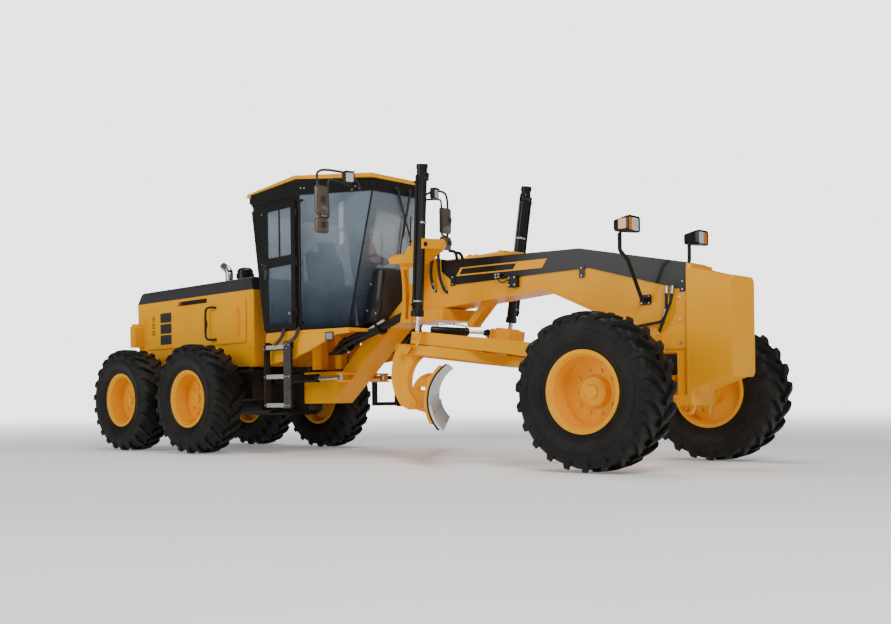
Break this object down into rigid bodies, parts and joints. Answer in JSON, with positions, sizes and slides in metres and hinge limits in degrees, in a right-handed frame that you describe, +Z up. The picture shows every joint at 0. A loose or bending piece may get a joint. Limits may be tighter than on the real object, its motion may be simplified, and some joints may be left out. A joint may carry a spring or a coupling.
{
  "type": "motor grader",
  "caption": "Articulated six-wheel motor grader with cab, rear engine, drawbar, circle and moldboard; steering, lift, blade and doors move.",
  "frame": {"origin": "on the ground, midway along and across the machine", "axes": "+X to the machine's front, +Y to its left, +Z up"},
  "size_m": [8.75, 2.9591, 3.21],
  "materials": {
    "yellow_paint": "gloss paint",
    "black_paint": "satin paint",
    "grey_paint": "satin paint",
    "blade_steel": "pale grey paint",
    "chrome_rod": "polished",
    "tyre_rubber": "matt",
    "cab_glass": "tinted",
    "cast_iron": "rough",
    "seat_cloth": "woven",
    "dark_plastic": "textured"
  },
  "bodies": {
    "rear_body": {"rear_frame": "yellow_paint", "tandem_cases": "yellow_paint", "hood": "yellow_paint", "hood_cap": "black_paint", "radiator_grille": "grey_paint", "engine_block": "cast_iron", "exhaust": "black_paint", "rear_bumper": "black_paint", "rear_lamps": "yellow_paint", "side_tanks": "black_paint"},
    "front_body": {"front_frame": "yellow_paint", "frame_cover": "black_paint", "front_block": "yellow_paint", "head_lamps": "black_paint", "front_axle": "yellow_paint", "cab_frame": "black_paint", "cab_glass": "cab_glass", "cab_fascia": "black_paint", "cab_roof": "yellow_paint", "cab_skirt": "yellow_paint", "cab_mounts": "yellow_paint", "cab_interior": "seat_cloth", "valve_cover": "grey_paint", "ladders": "black_paint", "mirrors": "dark_plastic", "saddle": "yellow_paint"},
    "art_barrel_right": {"art_barrel_right": "black_paint"},
    "art_rod_right": {"art_rod_right": "chrome_rod"},
    "art_barrel_left": {"art_barrel_left": "black_paint"},
    "art_rod_left": {"art_rod_left": "chrome_rod"},
    "knuckle_right": {"knuckle_right": "yellow_paint"},
    "knuckle_left": {"knuckle_left": "yellow_paint"},
    "tie_rod": {"tie_rod": "yellow_paint"},
    "wheel_front_right": {"tyre_front_right": "tyre_rubber", "rim_front_right": "yellow_paint"},
    "wheel_middle_right": {"tyre_middle_right": "tyre_rubber", "rim_middle_right": "yellow_paint"},
    "wheel_rear_right": {"tyre_rear_right": "tyre_rubber", "rim_rear_right": "yellow_paint"},
    "wheel_front_left": {"tyre_front_left": "tyre_rubber", "rim_front_left": "yellow_paint"},
    "wheel_middle_left": {"tyre_middle_left": "tyre_rubber", "rim_middle_left": "yellow_paint"},
    "wheel_rear_left": {"tyre_rear_left": "tyre_rubber", "rim_rear_left": "yellow_paint"},
    "drawbar": {"drawbar": "yellow_paint"},
    "circle": {"circle": "yellow_paint"},
    "blade_carrier": {"blade_carrier": "yellow_paint"},
    "moldboard": {"moldboard": "blade_steel"},
    "lift_barrel_right": {"lift_barrel_right": "black_paint"},
    "lift_rod_right": {"lift_rod_right": "chrome_rod"},
    "lift_barrel_left": {"lift_barrel_left": "black_paint"},
    "lift_rod_left": {"lift_rod_left": "chrome_rod"},
    "cab_door_right": {"cab_door_right": "black_paint", "door_glass_right": "cab_glass"},
    "engine_door_right": {"engine_door_right": "yellow_paint"},
    "cab_door_left": {"cab_door_left": "black_paint", "door_glass_left": "cab_glass"},
    "engine_door_left": {"engine_door_left": "yellow_paint"}
  },
  "joints": [
    {"name": "articulation", "type": "hinge", "parent": "rear_body", "child": "front_body", "pos_m": [-1.115, 0, 0.79], "axis": [0, 0, 1], "range_deg": [-20, 20]},
    {"name": "art_swing_right", "type": "hinge", "parent": "rear_body", "child": "art_barrel_right", "pos_m": [-1.43, -0.35, 0.9], "axis": [0, 0, 1], "range_deg": [-16, 16]},
    {"name": "art_slide_right", "type": "slide", "parent": "art_barrel_right", "child": "art_rod_right", "axis": [1, 0, 0], "range_m": [-0.13, 0.13]},
    {"name": "art_swing_left", "type": "hinge", "parent": "rear_body", "child": "art_barrel_left", "pos_m": [-1.43, 0.35, 0.9], "axis": [0, 0, 1], "range_deg": [-16, 16]},
    {"name": "art_slide_left", "type": "slide", "parent": "art_barrel_left", "child": "art_rod_left", "axis": [1, 0, 0], "range_m": [-0.13, 0.13]},
    {"name": "steer_right", "type": "hinge", "parent": "front_body", "child": "knuckle_right", "pos_m": [3.585, -0.8, 0.675], "axis": [0, 0, 1], "range_deg": [-45, 45]},
    {"name": "steer_left", "type": "hinge", "parent": "front_body", "child": "knuckle_left", "pos_m": [3.585, 0.8, 0.675], "axis": [0, 0, 1], "range_deg": [-45, 45]},
    {"name": "tie_rod_swing", "type": "hinge", "parent": "knuckle_right", "child": "tie_rod", "pos_m": [3.325, -0.8, 0.58], "axis": [0, 0, 1], "range_deg": [-45, 45]},
    {"name": "spin_front_right", "type": "hinge", "parent": "knuckle_right", "child": "wheel_front_right", "pos_m": [3.585, -1.08, 0.675], "axis": [0, 1, 0], "continuous": true},
    {"name": "spin_middle_right", "type": "hinge", "parent": "rear_body", "child": "wheel_middle_right", "pos_m": [-2.05, -1.08, 0.675], "axis": [0, 1, 0], "continuous": true},
    {"name": "spin_rear_right", "type": "hinge", "parent": "rear_body", "child": "wheel_rear_right", "pos_m": [-3.58, -1.08, 0.675], "axis": [0, 1, 0], "continuous": true},
    {"name": "spin_front_left", "type": "hinge", "parent": "knuckle_left", "child": "wheel_front_left", "pos_m": [3.585, 1.08, 0.675], "axis": [0, 1, 0], "continuous": true},
    {"name": "spin_middle_left", "type": "hinge", "parent": "rear_body", "child": "wheel_middle_left", "pos_m": [-2.05, 1.08, 0.675], "axis": [0, 1, 0], "continuous": true},
    {"name": "spin_rear_left", "type": "hinge", "parent": "rear_body", "child": "wheel_rear_left", "pos_m": [-3.58, 1.08, 0.675], "axis": [0, 1, 0], "continuous": true},
    {"name": "drawbar_lift", "type": "hinge", "parent": "front_body", "child": "drawbar", "pos_m": [3.13, 0, 1], "axis": [0, 1, 0], "range_deg": [-6.5, 2]},
    {"name": "circle_turn", "type": "hinge", "parent": "drawbar", "child": "circle", "pos_m": [1.28366, -0.0052, 1.13831], "axis": [0.1147, 0.0693, 0.991], "range_deg": [-85, 10]},
    {"name": "blade_tilt", "type": "hinge", "parent": "circle", "child": "blade_carrier", "pos_m": [0.85204, -0.34775, 0.59464], "axis": [-0.6367, 0.7709, 0.0198], "range_deg": [-5, 20]},
    {"name": "blade_shift", "type": "slide", "parent": "blade_carrier", "child": "moldboard", "axis": [0.6367, -0.7709, -0.0198], "range_m": [-0.45, 0.45]},
    {"name": "lift_swing_right", "type": "hinge", "parent": "front_body", "child": "lift_barrel_right", "pos_m": [1.416, -0.816, 2.2], "axis": [0.9775, -0.1706, -0.124], "range_deg": [-6, 6]},
    {"name": "lift_slide_right", "type": "slide", "parent": "lift_barrel_right", "child": "lift_rod_right", "axis": [-0.1141, 0.067, -0.9912], "range_m": [-0.09, 0.24]},
    {"name": "lift_swing_left", "type": "hinge", "parent": "front_body", "child": "lift_barrel_left", "pos_m": [1.416, 0.816, 2.2], "axis": [-0.7657, 0.6411, 0.0529], "range_deg": [-6, 6]},
    {"name": "lift_slide_left", "type": "slide", "parent": "lift_barrel_left", "child": "lift_rod_left", "axis": [-0.1142, -0.0545, -0.992], "range_m": [-0.09, 0.24]},
    {"name": "cab_door_right", "type": "hinge", "parent": "front_body", "child": "cab_door_right", "pos_m": [-0.417, -0.87, 2.18], "axis": [0, 0, 1], "range_deg": [0, 80]},
    {"name": "engine_door_right", "type": "hinge", "parent": "rear_body", "child": "engine_door_right", "pos_m": [-3.896, -0.639, 1.635], "axis": [0, 0, -1], "range_deg": [0, 80]},
    {"name": "cab_door_left", "type": "hinge", "parent": "front_body", "child": "cab_door_left", "pos_m": [-0.417, 0.87, 2.18], "axis": [0, 0, -1], "range_deg": [0, 80]},
    {"name": "engine_door_left", "type": "hinge", "parent": "rear_body", "child": "engine_door_left", "pos_m": [-3.896, 0.639, 1.635], "axis": [0, 0, 1], "range_deg": [0, 80]}
  ],
  "couplings": [
    {"joint": "art_swing_right", "follows": "articulation", "ratio": 0.73695},
    {"joint": "art_slide_right", "follows": "articulation", "m_per_rad": 0.34813},
    {"joint": "art_swing_left", "follows": "articulation", "ratio": 0.73695},
    {"joint": "art_slide_left", "follows": "articulation", "m_per_rad": -0.34813},
    {"joint": "steer_left", "follows": "steer_right", "ratio": 1},
    {"joint": "tie_rod_swing", "follows": "steer_right", "ratio": -1},
    {"joint": "lift_swing_right", "follows": "drawbar_lift", "ratio": 0.11838},
    {"joint": "lift_slide_right", "follows": "drawbar_lift", "m_per_rad": -1.8379},
    {"joint": "lift_swing_left", "follows": "drawbar_lift", "ratio": 0.1143},
    {"joint": "lift_slide_left", "follows": "drawbar_lift", "m_per_rad": -1.8351}
  ]
}
